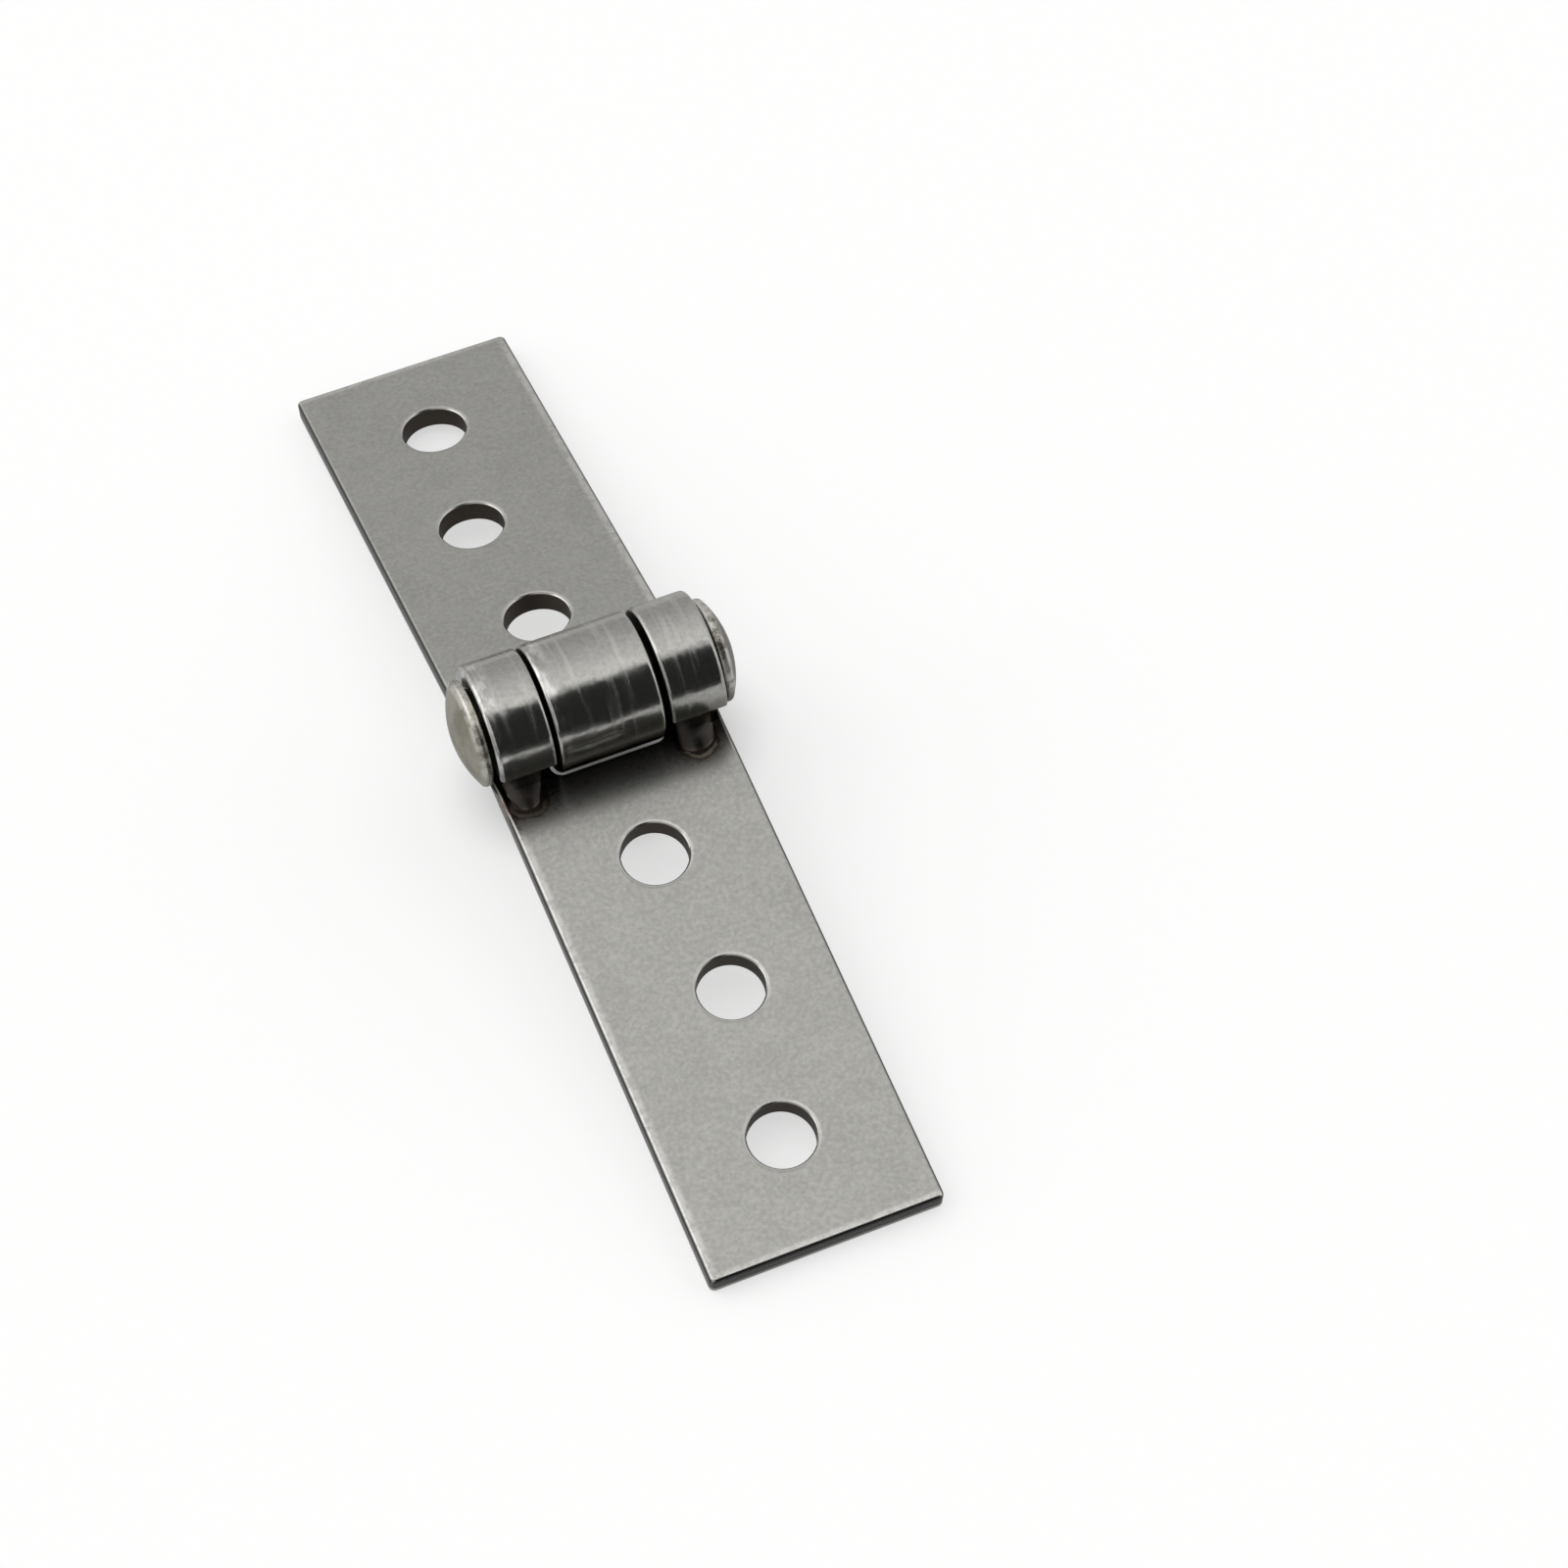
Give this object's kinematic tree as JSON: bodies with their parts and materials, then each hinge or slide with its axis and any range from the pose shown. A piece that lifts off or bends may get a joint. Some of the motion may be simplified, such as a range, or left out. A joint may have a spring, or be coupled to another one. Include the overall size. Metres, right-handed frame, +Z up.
{
  "type": "window hinge",
  "caption": "Stainless steel strip hinge for a window: two flat leaves with staggered screw holes, curled round one riveted pin with domed heads.",
  "frame": {"origin": "on the floor under the middle of the pin, where the hinge stands as a low tent", "axes": "+X along the pin, +Y towards the sash leaf, +Z up, barrel on top"},
  "size_m": [0.0244, 0.0992, 0.0186],
  "materials": {
    "leaf_steel": "satin, slightly scratched",
    "pin_steel": "smooth, peened at the rims"
  },
  "bodies": {
    "frame_side": {"frame_leaf": "leaf_steel", "rivet_pin": "pin_steel"},
    "sash_side": {"sash_leaf": "leaf_steel"}
  },
  "joints": [
    {"name": "leaf_swing", "type": "hinge", "parent": "frame_side", "child": "sash_side", "pos_m": [0, 0, 0.01304], "axis": [1, 0, 0], "range_deg": [-48, 197.2]}
  ]
}
